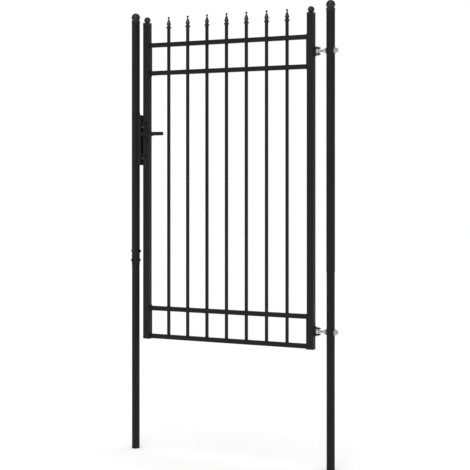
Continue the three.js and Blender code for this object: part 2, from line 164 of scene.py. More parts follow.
class Tree:
    """Adds nodes to a shader or geometry tree by type, settings and inputs."""

    def __init__(self, tree):
        self.tree = tree

    def node(self, kind, settings=None, inputs=None):
        node = self.tree.nodes.new(kind)
        for key, value in (settings or {}).items():
            setattr(node, key, value)
        for key, value in (inputs or {}).items():
            self.feed(node.inputs[key], value)
        return node

    def feed(self, socket, value):
        if isinstance(value, Wire):
            value = value.socket
        if isinstance(value, bpy.types.NodeSocket):
            self.tree.links.new(value, socket)
        else:
            socket.default_value = value

    def add(self, kind, settings=None, inputs=None, output=0):
        return Wire(self, self.node(kind, settings, inputs).outputs[output])


class Shader(Tree):
    """A material whose Principled surface takes its place from Object coordinates."""

    def __init__(self, name, **constants):
        material = bpy.data.materials.new(name)
        material.use_nodes = True
        super().__init__(material.node_tree)
        self.material = material
        self.surface = material.node_tree.nodes["Principled BSDF"]
        for key, value in constants.items():
            self.surface.inputs[key.replace("_", " ")].default_value = value
        self.place = self.add("ShaderNodeTexCoord", output="Object")

    def noise(self, size, detail=2.0, roughness=0.5, stretch=(1, 1, 1)):
        """Noise from 0 to 1 whose lumps are about `size` across."""
        place = self.place
        if tuple(stretch) != (1, 1, 1):
            place = self.add("ShaderNodeMapping", None, {"Vector": place, "Scale": stretch}, "Vector")
        inputs = {"Vector": place, "Scale": 1.0 / size, "Detail": detail, "Roughness": roughness}
        return self.add("ShaderNodeTexNoise", None, inputs, "Fac")

    def specks(self, size):
        inputs = {"Vector": self.place, "Scale": 1.0 / size}
        return self.add("ShaderNodeTexVoronoi", None, inputs, "Distance")

    def tint(self, shade, by, low, high):
        """The colour `shade`, from `low` to `high` times as bright where `by` goes from 0 to 1."""
        factor, dark, light, result = 0, 6, 7, 2
        inputs = {factor: by}
        for socket, share in ((dark, low), (light, high)):
            inputs[socket] = [c * share for c in shade] + [1.0]
        return self.add("ShaderNodeMix", {"data_type": "RGBA"}, inputs, result)

    def bump(self, height, depth):
        inputs = {"Height": height, "Distance": depth, "Strength": 1.0}
        return self.add("ShaderNodeBump", None, inputs, "Normal")

    def finish(self, **links):
        for key, value in links.items():
            self.feed(self.surface.inputs[key.replace("_", " ")], value)
        return self.material


# Finishes.


def powder_coat(
    finishes, name="Powder coat", shade=None, gloss=0.2, grain=None, relief=0.004 * MM, rough=0.48
):
    """Black powder coat: an orange-peel skin with a fine grain and faint, slow changes of sheen."""
    shader = Shader(name, Specular_IOR_Level=gloss)
    grain = grain or finishes.coat_grain
    slow = shader.noise(0.16, 3.0)
    peel = shader.noise(3.2 * grain, 2.0)
    fine = shader.noise(0.8 * grain, 3.0, 0.65)
    skin = shader.bump(peel * 0.7 + fine * 0.3, relief)
    colour = shader.tint(shade or finishes.coat, slow, 0.86, 1.14)
    return shader.finish(Base_Color=colour, Roughness=slow * 0.10 + fine * 0.06 + rough, Normal=skin)


def cast_iron(finishes):
    """Sand-cast iron under a glossier coat, over a lumpier skin."""
    return powder_coat(finishes, "Coated casting", finishes.casting, 0.45, 1.2 * MM, 0.015 * MM, 0.16)


def moulding(finishes):
    """Black moulded plastic with a faint grain and flow marks."""
    shader = Shader("Black moulding", Specular_IOR_Level=0.5)
    flow = shader.noise(0.012, 3.0, 0.5, (1, 1, 0.35))
    grain = shader.noise(0.5 * MM, 2.0)
    skin = shader.bump(grain * 0.6 + flow * 0.4, 0.012 * MM)
    colour = shader.tint(finishes.moulding, flow, 0.9, 1.12)
    return shader.finish(Base_Color=colour, Roughness=flow * 0.05 + 0.10, Normal=skin)


def lever_coat(finishes):
    """Satin black coat on the die-cast lever, knob and plates."""
    shader = Shader("Lever coat", Specular_IOR_Level=0.2)
    slow = shader.noise(0.03, 2.0)
    grain = shader.noise(0.6 * MM, 2.0)
    colour = shader.tint(finishes.lever, slow, 0.9, 1.15)
    skin = shader.bump(grain, 0.02 * MM)
    return shader.finish(Base_Color=colour, Roughness=slow * 0.08 + grain * 0.04 + 0.28, Normal=skin)


def plated_steel(name, shade, rough, relief=0.02 * MM, speck=0.25, metallic=1.0):
    """Plated steel: fine drawn lines, cloudy plating and small specks."""
    shader = Shader(name, Metallic=metallic)
    clouds = shader.noise(0.007, 3.0)
    drawn = shader.noise(0.5 * MM, 2.0, 0.6, (0.15, 1, 1))
    spots = shader.specks(1.6 * MM)
    height = drawn * (1.0 - speck) + spots * speck
    colour = shader.tint(shade, clouds, 0.82, 1.12)
    skin = shader.bump(height, relief)
    return shader.finish(Base_Color=colour, Roughness=clouds * 0.14 + drawn * 0.08 + rough, Normal=skin)


MATERIALS = {}


def make_materials(finishes):
    MATERIALS["powder_coated_steel"] = powder_coat(finishes)
    MATERIALS["cast_finials"] = cast_iron(finishes)
    MATERIALS["moulded_caps"] = moulding(finishes)
    MATERIALS["lever_set"] = lever_coat(finishes)
    MATERIALS["black_bolts"] = plated_steel("Black zinc", finishes.bolt, 0.34)
    MATERIALS["zinc_hardware"] = plated_steel("Bright zinc", finishes.zinc, 0.26)
    MATERIALS["lock_steel"] = plated_steel("Dark steel", finishes.lock_steel, 0.42, metallic=0.4)
    MATERIALS["cylinder_metal"] = plated_steel("Black nickel", finishes.cylinder, 0.24, 0.01 * MM, 0.1)


# Mesh making.


def arc(centre_x, centre_y, radius, start, end, steps):
    """Points on an arc, both ends included. Angles in degrees."""
    points = []
    for i in range(steps + 1):
        angle = math.radians(start + (end - start) * i / steps)
        points.append((centre_x + radius * math.cos(angle), centre_y + radius * math.sin(angle)))
    return points


def rounded_rectangle(width, depth, radius, steps=4):
    """Outline of a rectangle about the origin with round corners, anticlockwise."""
    x, y = width / 2 - radius, depth / 2 - radius
    corners = ((x, y, 0), (-x, y, 90), (-x, -y, 180), (x, -y, 270))
    return [p for cx, cy, start in corners for p in arc(cx, cy, radius, start, start + 90, steps)]


def skin(rings, closed_round=True, closed_along=False, capped=True):
    """A mesh of quads between rings of points. Open ends get a face, and a ring of one radius 0 is a pole."""
    bm = bmesh.new()
    made = [[bm.verts.new(p) for p in ring] for ring in rings]
    count = len(made[0])
    pairs = list(zip(made, made[1:])) + ([(made[-1], made[0])] if closed_along else [])
    for low, high in pairs:
        for i in range(count if closed_round else count - 1):
            j = (i + 1) % count
            bm.faces.new((low[i], low[j], high[j], high[i]))
    if capped and not closed_along:
        bm.faces.new(list(reversed(made[0])))
        bm.faces.new(made[-1])
    bmesh.ops.remove_doubles(bm, verts=bm.verts, dist=1e-7)
    bmesh.ops.dissolve_degenerate(bm, edges=bm.edges, dist=1e-8)
    bmesh.ops.recalc_face_normals(bm, faces=bm.faces)
    return bm


def prism(outline, low, high):
    return skin([[(x, y, z) for x, y in outline] for z in (low, high)])


def block(size_x, size_y, size_z, centre=(0, 0, 0), radius=0.0):
    outline = rounded_rectangle(size_x, size_y, max(radius, 1e-5), 4 if radius else 1)
    return moved(prism(outline, -size_z / 2, size_z / 2), centre)


def hollow_prism(outer, inner, low, high):
    """A tube between two outlines with the same number of points."""
    rings = []
    for outline, z in ((outer, low), (outer, high), (inner, high), (inner, low)):
        rings.append([(x, y, z) for x, y in outline])
    return skin(rings, closed_along=True)


def turned(profile, steps=48, closed=False):
    """A profile of (radius, height) turned about Z. It starts and ends on the axis, or is closed on itself.
    A profile may be a function of the angle."""
    at = profile if callable(profile) else lambda angle: profile
    rings = []
    for i in range(steps):
        angle = FULL_TURN * i / steps
        rings.append([(r * math.cos(angle), r * math.sin(angle), z) for r, z in at(angle)])
    return skin(rings, closed_round=closed, closed_along=True)


def moved(bm, offset=(0, 0, 0), turn=None):
    if turn is not None:
        bmesh.ops.transform(bm, matrix=turn, verts=bm.verts)
    bmesh.ops.translate(bm, vec=offset, verts=bm.verts)
    return bm


def merged(*parts):
    """Several meshes in one, each left a closed shell."""
    whole = bmesh.new()
    for part in parts:
        mesh = bpy.data.meshes.new("part")
        part.to_mesh(mesh)
        part.free()
        whole.from_mesh(mesh)
        bpy.data.meshes.remove(mesh)
    return whole


def scratch(bm, name="scratch"):
    """An object for a mesh, not yet a piece."""
    mesh = bpy.data.meshes.new(name)
    bm.to_mesh(mesh)
    bm.free()
    obj = bpy.data.objects.new(name, mesh)
    bpy.context.scene.collection.objects.link(obj)
    return obj


def settle(obj):
    """Turns an object and its modifiers into a plain mesh."""
    bpy.context.view_layer.update()
    evaluated = obj.evaluated_get(bpy.context.evaluated_depsgraph_get())
    mesh = bpy.data.meshes.new_from_object(evaluated)
    obj.modifiers.clear()
    old = obj.data
    obj.data = mesh
    bpy.data.meshes.remove(old)
    return obj


def discard(obj):
    mesh = obj.data
    bpy.data.objects.remove(obj)
    bpy.data.meshes.remove(mesh)


def lifted(obj):
    """A plain object's mesh, in place of the object."""
    made = bmesh.new()
    made.from_mesh(obj.data)
    discard(obj)
    return made


def carved(bm, *tools, operation="DIFFERENCE"):
    """The mesh after each tool is cut out of it, or kept where it is common to both."""
    body = scratch(bm)
    cutters = [scratch(tool) for tool in tools]
    for cutter in cutters:
        modifier = body.modifiers.new("cut", "BOOLEAN")
        modifier.operation = operation
        modifier.solver = "EXACT"
        modifier.object = cutter
    made = lifted(settle(body))
    for cutter in cutters:
        discard(cutter)
    return made


def softened(bm, width, segments=2, angle=50):
    """The mesh with its sharp edges rounded."""
    body = scratch(bm)
    bevel = body.modifiers.new("edges", "BEVEL")
    bevel.width = width
    bevel.segments = segments
    bevel.limit_method = "ANGLE"
    bevel.angle_limit = math.radians(angle)
    bevel.use_clamp_overlap = True
    return lifted(settle(body))


def piece(name, bm, body, slot, *stands_for):
    """A finished piece: its mesh, its finish, the body that it rides on and the nodes that it stands for."""
    obj = bm if isinstance(bm, bpy.types.Object) else scratch(bm)
    obj.name = name
    obj.data.name = name
    obj.data.materials.clear()
    obj.data.materials.append(MATERIALS[slot])
    for polygon in obj.data.polygons:
        polygon.use_smooth = True
        polygon.material_index = 0
    obj.data.set_sharp_from_angle(angle=SMOOTH_ANGLE)
    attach(obj, body)
    if stands_for:
        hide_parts(*stands_for)
    return obj


def stand_in(node, bm, body, slot):
    """A piece that takes the place of one node."""
    return piece(node + "_skin", bm, body, slot, node)


def screw_pair(name, screw, turn, start, rise):
    """Two like screws on the leaf, one above the other."""
    step = (0, 0, rise)
    screws = RULES["row"].run(moved(screw, turn=turn), "black_bolts", Count=2, Start=start, Step=step)
    piece(name, screws, "leaf", "black_bolts")


def middle(node):
    low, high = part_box(node)
    return (low + high) / 2


def extent(node):
    low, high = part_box(node)
    return high - low


# Geometry nodes.


class Rule(Tree):
    """A Geometry Nodes tree with named inputs, run on an object and then turned to a plain mesh."""

    def __init__(self, name, **inputs):
        tree = bpy.data.node_groups.new(name, "GeometryNodeTree")
        super().__init__(tree)
        self.identifiers = {}
        tree.interface.new_socket("Geometry", in_out="INPUT", socket_type="NodeSocketGeometry")
        tree.interface.new_socket("Geometry", in_out="OUTPUT", socket_type="NodeSocketGeometry")
        inputs["Material"] = "Material"
        for label, kind in inputs.items():
            socket = tree.interface.new_socket(label, in_out="INPUT", socket_type="NodeSocket" + kind)
            self.identifiers[label] = socket.identifier
        self.inputs = self.node("NodeGroupInput").outputs
        self.out = self.node("NodeGroupOutput")

    def end(self, instances):
        """Realize Instances and Set Material come last."""
        solid = self.add("GeometryNodeRealizeInstances", None, {"Geometry": instances})
        inputs = {"Geometry": solid, "Material": self.inputs["Material"]}
        self.feed(self.out.inputs[0], self.add("GeometryNodeSetMaterial", None, inputs))
        return self

    def run(self, bm, slot, **values):
        obj = scratch(bm)
        modifier = obj.modifiers.new(self.tree.name, "NODES")
        modifier.node_group = self.tree
        modifier[self.identifiers["Material"]] = MATERIALS[slot]
        for label, value in values.items():
            modifier[self.identifiers[label]] = value
        return settle(obj)


def copies_in_a_row():
    """Copies of the incoming mesh, spaced evenly along a line."""
    rule = Rule("Copies in a row", Count="Int", Start="Vector", Step="Vector")
    given = rule.inputs
    line = rule.add(
        "GeometryNodeMeshLine",
        {"mode": "OFFSET"},
        {"Count": given["Count"], "Start Location": given["Start"], "Offset": given["Step"]},
    )
    copies = rule.add("GeometryNodeInstanceOnPoints", None, {"Points": line, "Instance": given["Geometry"]})
    return rule.end(copies)


def weld_bead():
    """Overlapping lumps along the incoming edges, each a little different."""
    rule = Rule("Weld bead", Width="Float", Pitch="Float", Seed="Int")
    given = rule.inputs
    path = rule.add("GeometryNodeMeshToCurve", None, {"Mesh": given["Geometry"]})
    spacing = {"Curve": path, "Length": given["Pitch"]}
    spaced = rule.add("GeometryNodeResampleCurve", {"mode": "LENGTH"}, spacing)
    lump = rule.add("GeometryNodeMeshIcoSphere", None, {"Radius": given["Width"], "Subdivisions": 2})
    size = rule.add(
        "FunctionNodeRandomValue",
        {"data_type": "FLOAT_VECTOR"},
        {"Min": (0.86, 0.86, 0.86), "Max": (1.1, 1.1, 1.1), "Seed": given["Seed"]},
    )
    inputs = {"Points": spaced, "Instance": lump, "Scale": size}
    return rule.end(rule.add("GeometryNodeInstanceOnPoints", None, inputs))


def helical_thread():
    """A thread ridge wound round Z, upwards from the incoming mesh, which it keeps."""
    rule = Rule("Helical thread", Radius="Float", Height="Float", Turns="Float", Ridge="Float")
    given = rule.inputs
    winding = {"Resolution": 20, "Rotations": given["Turns"], "Height": given["Height"]}
    for end in ("Start Radius", "End Radius"):
        winding[end] = given["Radius"]
    helix = rule.add("GeometryNodeCurveSpiral", None, winding)
    hexagon = {"Resolution": 6, "Radius": given["Ridge"]}
    section = rule.add("GeometryNodeCurvePrimitiveCircle", None, hexagon)
    swept = {"Curve": helix, "Profile Curve": section, "Fill Caps": True}
    ridge = rule.add("GeometryNodeCurveToMesh", None, swept)
    both = rule.node("GeometryNodeJoinGeometry")
    for part in (given["Geometry"], ridge):
        rule.feed(both.inputs[0], part)
    return rule.end(Wire(rule, both.outputs[0]))


RULES = {}


def make_rules():
    RULES["row"] = copies_in_a_row()
    RULES["bead"] = weld_bead()
    RULES["thread"] = helical_thread()


# Shared shapes.


def ball_profile(radius, centre, neck, steps=24):
    """Outline of a ball from its neck to the axis at its top."""
    start = -math.degrees(math.acos(neck / radius))
    points = arc(0, centre, radius, start, 90, steps)
    return points[:-1] + [(0.0, centre + radius)]


def hexagon_radius(flats, angle):
    """Distance from the axis to a hexagon's side at an angle."""
    return flats / 2 / math.cos((angle + math.pi / 6) % (math.pi / 3) - math.pi / 6)


def six_sided(flats, outline, closed=False, steps=72):
    """A hexagon about Z. `outline` takes the end face's radius, the side's radius and the chamfer's drop."""
    flat_radius = 0.46 * flats
    slope = math.tan(math.radians(30))

    def profile(angle):
        radius = hexagon_radius(flats, angle)
        return outline(flat_radius, radius, (radius - flat_radius) * slope)

    return turned(profile, steps, closed)


def nut(flats, height, bore):
    """A hexagon nut standing on z = 0, with both ends chamfered and a countersunk bore."""
    sink = 0.6 * MM

    def outline(flat, side, drop):
        foot = [(bore, sink), (bore + sink, 0.0), (flat, 0.0), (side, drop)]
        return foot + [(side, height - drop), (flat, height), (bore + sink, height), (bore, height - sink)]

    return six_sided(flats, outline, closed=True)


def hexagon_head(flats, height):
    """A solid hexagon head on z = 0, chamfered at its top."""
    edge = 0.2 * MM

    def outline(flat, side, drop):
        foot = [(0.0, 0.0), (side - edge, 0.0), (side, edge)]
        return foot + [(side, height - drop), (flat, height), (0.0, height)]

    return six_sided(flats, outline)


def washer(radius, bore, thickness):
    """A flat washer on z = 0 with its edges broken by stamping."""
    edge = 0.4 * MM
    profile = [
        (bore, edge / 2), (bore + edge / 2, 0.0), (radius - edge / 2, 0.0), (radius, edge / 2),
        *arc(radius - edge, thickness - edge, edge, 0, 90, 3),
        *arc(bore + edge, thickness - edge, edge, 90, 180, 3),
    ]
    return turned(profile, 64, closed=True)


def round_bar(radius, low, high):
    """A round bar about Z with chamfered ends."""
    edge = 0.4 * MM
    profile = [(0.0, low), (radius - edge, low), (radius, low + edge), (radius, high - edge),
               (radius - edge, high), (0.0, high)]
    return turned(profile)


def dome_screw(radius, height, socket):
    """A domed head on z = 0 with a hexagon socket."""
    dome_radius = (radius**2 + height**2) / (2 * height)
    start = math.degrees(math.acos(radius / dome_radius))
    top = arc(0, height - dome_radius, dome_radius, start, 90, 12)
    head = turned([(0.0, -0.2 * MM), (radius, -0.2 * MM), *top[:-1], (0.0, height)], 48)
    key = prism([(socket * math.cos(a), socket * math.sin(a)) for a in (k * math.pi / 3 for k in range(6))],
                height * 0.35, height * 2)
    return carved(head, key)


def countersunk_screw(radius):
    """A flat screw head on z = 0 with a cross recess."""
    head = turned([(0.0, -0.8 * MM), (0.55 * radius, -0.8 * MM), (radius, -0.1 * MM), (radius, 0.12 * MM),
                   (radius - 0.15 * MM, 0.2 * MM), (0.0, 0.2 * MM)], 40)
    arm = block(1.15 * radius, 0.26 * radius, 1.4 * MM, (0, 0, 0.3 * MM))
    other = block(0.26 * radius, 1.15 * radius, 1.4 * MM, (0, 0, 0.3 * MM))
    return carved(head, arm, other)


def square_tube(side_x, side_y, wall, corner, low, high):
    outer = rounded_rectangle(side_x, side_y, corner, 5)
    inner = rounded_rectangle(side_x - 2 * wall, side_y - 2 * wall, max(corner - wall, 0.4 * MM), 5)
    return hollow_prism(outer, inner, low, high)


def round_tube(radius, wall, low, high):
    edge = 0.25 * MM
    inside = radius - wall
    profile = [
        (inside, low + edge / 2), (inside + edge / 2, low), (radius - edge, low), (radius, low + edge),
        (radius, high - edge), (radius - edge, high), (inside + edge / 2, high), (inside, high - edge / 2),
    ]
    return turned(profile, 72, closed=True)


def path_mesh(*loops):
    """Edges through the points of each loop, closed where its last point repeats its first."""
    bm = bmesh.new()
    for loop in loops:
        made = [bm.verts.new(p) for p in loop]
        for a, b in zip(made, made[1:]):
            bm.edges.new((a, b))
    bmesh.ops.remove_doubles(bm, verts=bm.verts, dist=1e-6)
    return bm


# Posts.


def cross_bore(radius, level, turn=0.0):
    bore = moved(round_bar(radius, -40 * MM, 40 * MM), turn=ALONG_X)
    return moved(bore, (0, 0, level), Matrix.Rotation(turn, 4, "Z"))


def post_cap(radius, node):
    """A moulded ball cap: a skirt over the tube's end, a shelf, a neck and the ball."""
    low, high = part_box(node)
    skirt_inside, skirt = radius + 0.3 * MM, radius + 1.0 * MM
    shelf = low.z + 9.2 * MM
    ball = 20.4 * MM
    neck = 16.6 * MM
    outline = ball_profile(ball, high.z - ball, neck, 40)
    profile = [
        (0.0, low.z + 8.4 * MM),
        (skirt_inside, low.z + 8.4 * MM),
        (skirt_inside, low.z + 0.3 * MM),
        (skirt_inside + 0.3 * MM, low.z),
        *arc(skirt - 0.3 * MM, low.z + 0.3 * MM, 0.3 * MM, -90, 0, 3),
        *arc(skirt - 1.2 * MM, shelf, 1.2 * MM, 0, 80, 5),
        *arc(neck + 1.0 * MM, shelf + 2.1 * MM, 0.9 * MM, 270, 180, 4),
        *outline,
    ]
    return turned(profile, 96)


def joint_bolt(node, turn):
    """A domed bolt through the sleeve joint, with its nut."""
    centre = middle("latch_post_upper_tube")
    level = middle(node).z
    seat = extent("latch_post_upper_tube").x / 2
    head = moved(dome_screw(6.5 * MM, 5.9 * MM, 2.5 * MM), (seat, 0, 0), ALONG_X)
    moved(head, turn=Matrix.Rotation(math.pi, 4, "Z"))
    height = 6.2 * MM if turn == 0 else 3.8 * MM
    tail = moved(nut(13 * MM, height, 3.9 * MM), turn=ALONG_X)
    moved(tail, (seat, 0, 0))
    shank = moved(round_bar(4 * MM, -seat, seat + height - 0.3 * MM), turn=ALONG_X)
    whole = merged(head, tail, shank)
    return moved(whole, (centre.x, centre.y, level), Matrix.Rotation(turn, 4, "Z"))


class GATE_OT_posts(bpy.types.Operator):
    """Round posts with their sleeve joints, bores, ball caps and joint bolts"""

    bl_idname = "gate.posts"
    bl_label = "Posts"

    def execute(self, context):
        sizes = context.scene.gate_sizes
        joint_bolts = {"post_joint_bolt_upper": 0.0, "post_joint_bolt_lower": sizes.joint_turn}
        for side in ("latch", "hinge"):
            for part, wall in (("upper", sizes.post_wall), ("lower", sizes.lower_post_wall)):
                node = f"{side}_post_{part}_tube"
                low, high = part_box(node)
                radius = (high.x - low.x) / 2
                tube = round_tube(radius, wall, low.z, high.z)
                if side == "latch":
                    bores = [(4.4 * MM, middle(n).z, turn) for n, turn in joint_bolts.items()]
                else:
                    bores = [(6.5 * MM, middle(f"{part}_eye_bolt").z, 0.0)]
                tube = carved(tube, *(cross_bore(*bore) for bore in bores))
                centre = middle(node)
                stand_in(node, moved(tube, (centre.x, centre.y, 0)), "posts", "powder_coated_steel")
            cap_node = f"{side}_post_ball_cap"
            centre = middle(cap_node)
            cap = post_cap(extent(f"{side}_post_upper_tube").x / 2, cap_node)
            stand_in(cap_node, moved(cap, (centre.x, centre.y, 0)), "posts", "moulded_caps")
        for node, turn in joint_bolts.items():
            stand_in(node, joint_bolt(node, turn), "posts", "black_bolts")
        return {"FINISHED"}


# Keep.


def folded_channel(width, depth, wall, bend):
    """Outline of a channel folded from sheet, open towards +X, its back on X = 0."""
    half = depth / 2
    outside = [(width, -half), *arc(bend, -half + bend, bend, 270, 180, 5),
               *arc(bend, half - bend, bend, 180, 90, 5), (width, half)]
    inner = bend - wall
    inside = [(width, half - wall), *arc(bend, half - bend, inner, 90, 180, 5),
              *arc(bend, -half + bend, inner, 180, 270, 5), (width, -half + wall)]
    return outside[::-1] + inside[::-1]


class GATE_OT_keep(bpy.types.Operator):
    """Folded strike keep on the latch post"""

    bl_idname = "gate.keep"
    bl_label = "Strike keep"

    def execute(self, context):
        sizes = context.scene.gate_sizes
        low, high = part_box("strike_keep")
        centre = (low + high) / 2
        channel = prism(folded_channel(high.x - low.x, high.y - low.y, 2 * MM, 2.8 * MM), low.z, high.z)
        moved(channel, (low.x, centre.y, 0))
        notches = []
        length, depth, margin = 17.6 * MM, 30 * MM, 0.25 * MM
        for node in ("latch_bolt", "deadbolt"):
            height = extent(node).z + 2 * margin
            place = (high.x - 8.7 * MM, depth / 2, middle(node).z)
            notches.append(block(length, depth, height, place))
        keep = softened(carved(channel, *notches), sizes.edge)
        stand_in("strike_keep", keep, "posts", "powder_coated_steel")
        return {"FINISHED"}


# Leaf frame.


def cylinder_outline(grow=0.0, steps=18):
    """Outline of a profile cylinder about its plug's axis: a round head over a narrow tail."""
    head, tail, drop = 8.5 * MM + grow, 5 * MM + grow, 19.5 * MM
    meet = math.degrees(math.acos(tail / head))
    return [*arc(0, 0, head, -meet, 180 + meet, 2 * steps), *arc(0, -drop, tail, 180, 360, steps)]


def across_stile(bm, centre):
    """Turns a prism made along Z so that it runs along Y, its own Y up."""
    return moved(bm, centre, Matrix.Rotation(math.pi / 2, 4, "X"))


def lock_openings(centre_x):
    """Cutters for the spindle, the cylinder and the two bolts in the latch stile."""
    spindle, plug = middle("spindle"), middle("cylinder_plug")
    bore = moved(round_bar(8 * MM, -40 * MM, 40 * MM), (centre_x, 0, spindle.z), ALONG_Y)
    shape = across_stile(prism(cylinder_outline(0.35 * MM), -40 * MM, 40 * MM), (centre_x, 0, plug.z))
    tools = [bore, shape]
    for node in ("latch_bolt", "deadbolt"):
        size, place = extent(node), middle(node)
        slot = block(30 * MM, size.y + 1.0 * MM, size.z + 1.0 * MM, (centre_x - 15 * MM, 0, place.z))
        tools.append(slot)
    return tools


def stile_cap(node):
    """A moulded cap: a square skirt with soft corners, a neck and a ball."""
    low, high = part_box(node)
    side = high.x - low.x
    foot = low.z
    rings = []
    steps = ((0.0, 0.35), (0.35, 0.0), (9.6, 0.0), (10.6, 0.35), (11.0, 1.2))
    for rise, inset in steps:
        outline = rounded_rectangle(side - 2 * inset * MM, side - 2 * inset * MM, 3.2 * MM, 5)
        rings.append([(x, y, foot + rise * MM) for x, y in outline])
    base = skin(rings)
    hollow = block(side - 1.4 * MM, side - 1.4 * MM, 16.6 * MM, (0, 0, foot), 2.4 * MM)
    ball = 15 * MM
    neck = 9.0 * MM
    outline = ball_profile(ball, high.z - ball, neck, 30)
    top = turned([(0.0, foot + 9.5 * MM), (neck + 2 * MM, foot + 9.5 * MM), (neck + 2 * MM, foot + 11.2 * MM),
                  *arc(neck + 2 * MM, foot + 12.8 * MM, 1.6 * MM, 270, 200, 4), *outline], 72)
    return carved(merged(carved(base, hollow)), top, operation="UNION")


class GATE_OT_leaf_frame(bpy.types.Operator):
    """Stiles, rails, end plates and stile caps"""

    bl_idname = "gate.leaf_frame"
    bl_label = "Leaf frame"

    def execute(self, context):
        sizes = context.scene.gate_sizes
        for side in ("latch", "hinge"):
            node = f"{side}_stile"
            low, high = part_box(node)
            centre = (low + high) / 2
            wall, corner = sizes.stile_wall, sizes.stile_corner
            tube = square_tube(high.x - low.x, high.y - low.y, wall, corner, low.z, high.z)
            moved(tube, (centre.x, centre.y, 0))
            if side == "latch":
                tube = carved(tube, *lock_openings(centre.x))
            stand_in(node, softened(tube, sizes.edge, angle=60), "leaf", "powder_coated_steel")
            cap = f"{side}_stile_ball_cap"
            place = middle(cap)
            stand_in(cap, moved(stile_cap(cap), (place.x, place.y, 0)), "leaf", "moulded_caps")
        self.rails(sizes)
        self.end_plates(sizes)
        return {"FINISHED"}

    def rails(self, sizes):
        pickets = [middle(node) for node in PICKETS]
        hole = extent("picket_1").x + 0.5 * MM
        for node in RAILS:
            low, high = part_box(node)
            centre = (low + high) / 2
            tube = square_tube(high.z - low.z, high.y - low.y, sizes.stile_wall, sizes.rail_corner,
                               low.x, high.x)
            moved(tube, (0, centre.y, centre.z), ALONG_X)
            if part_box("picket_1")[0].z < low.z:
                punches = [block(hole, hole, 60 * MM, (p.x, p.y, centre.z), 0.8 * MM) for p in pickets]
                tube = carved(tube, *punches)
            stand_in(node, softened(tube, 0.25 * MM, angle=60), "leaf", "powder_coated_steel")

    def end_plates(self, sizes):
        for pair in ("top", "bottom"):
            for side, facing in (("latch", 1), ("hinge", -1)):
                node = f"{pair}_{side}_end_plate"
                size, place = extent(node), middle(node)
                plate = softened(block(size.x, size.y, size.z, place), 0.4 * MM)
                stand_in(node, plate, "leaf", "powder_coated_steel")
                outwards = Matrix.Rotation(facing * math.pi / 2, 4, "Y")
                start = (place.x + facing * (size.x / 2 - 0.1 * MM), place.y, place.z - 30 * MM)
                screw_pair(node + "_screws", countersunk_screw(4 * MM), outwards, start, 60 * MM)


# Pickets and finials.


def finial_profile():
    """Radius and height from the foot, in millimetres: socket collar, waist, spear and ball tip."""
    return [
        (0.0, 0.0), (8.1, 0.0), (8.5, 0.4), (8.5, 2.2), (9.4, 3.4),
        *arc(9.0, 7.3, 3.3, -60, 60, 8),
        (8.6, 11.6),
        *arc(9.2, 14.6, 2.2, 230, 140, 6),
        *arc(6.6, 21.6, 3.4, -45, 25, 6),
        (8.9, 26.4), (7.6, 31.0), (5.9, 36.2), (4.0, 41.2), (2.7, 44.6),
        *arc(0.0, 51.8, 5.0, -61, 90, 12)[:-1],
        (0.0, 56.8),
    ]


class GATE_OT_pickets(bpy.types.Operator):
    """Pickets and their cast spear finials, one row of each"""

    bl_idname = "gate.pickets"
    bl_label = "Pickets and finials"

    def execute(self, context):
        sizes = context.scene.gate_sizes
        count = len(PICKETS)
        first, second = middle("picket_1"), middle("picket_2")
        step = (second.x - first.x, 0, 0)
        low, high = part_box("picket_1")
        outline = rounded_rectangle(high.x - low.x, high.y - low.y, sizes.picket_corner, 5)
        bar = softened(prism(outline, low.z - 0.2 * MM, high.z), 0.3 * MM, angle=70)
        start = (first.x, first.y, 0)
        bars = RULES["row"].run(bar, "powder_coated_steel", Count=count, Start=start, Step=step)
        piece("pickets", bars, "leaf", "powder_coated_steel", *PICKETS)

        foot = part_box("spear_finial_1")[0].z
        spear = turned([(r * MM, z * MM) for r, z in finial_profile()], 48)
        start = (first.x, first.y, foot)
        spears = RULES["row"].run(spear, "cast_finials", Count=count, Start=start, Step=step)
        piece("spear_finials", spears, "leaf", "cast_finials", *FINIALS)
        return {"FINISHED"}


# Hinges.


def bracket(node, pin):
    """A clevis: a base plate with soft corners and two round ears."""
    low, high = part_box(node)
    place = (low + high) / 2
    width, height = high.y - low.y, high.z - low.z
    thickness, corner = 3 * MM, 3 * MM
    ear_half, ear_offset = 2 * MM, 13.4 * MM
    plate = moved(prism(rounded_rectangle(height, width, corner, 5), 0, thickness), turn=ALONG_X)
    moved(plate, (low.x, place.y, place.z))
    reach = pin.x - low.x
    root = width / 2 - 1 * MM
    outline = [(-reach, -root), *arc(0, 0, width / 2, -90, 90, 24), (-reach, root)]
    parts = [softened(plate, 0.6 * MM)]
    for side in (-1, 1):
        ear = prism(outline, -ear_half, ear_half)
        moved(ear, (pin.x, pin.y, pin.z + side * ear_offset))
        parts.append(softened(ear, 0.6 * MM, 3))
    return merged(*parts)


def hinge_pin(node):
    """The hinge bolt: a hexagon head above and a lock nut below."""
    low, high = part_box(node)
    place = (low + high) / 2
    flats, head_height = 14.5 * MM, 5 * MM
    head = moved(hexagon_head(flats, head_height), (0, 0, high.z - head_height))
    shank = round_bar(5 * MM, low.z, high.z - 4 * MM)
    lower = moved(nut(flats, 4.8 * MM, 4.9 * MM), (0, 0, low.z + 0.1 * MM))
    return moved(merged(head, shank, lower), (place.x, place.y, 0))


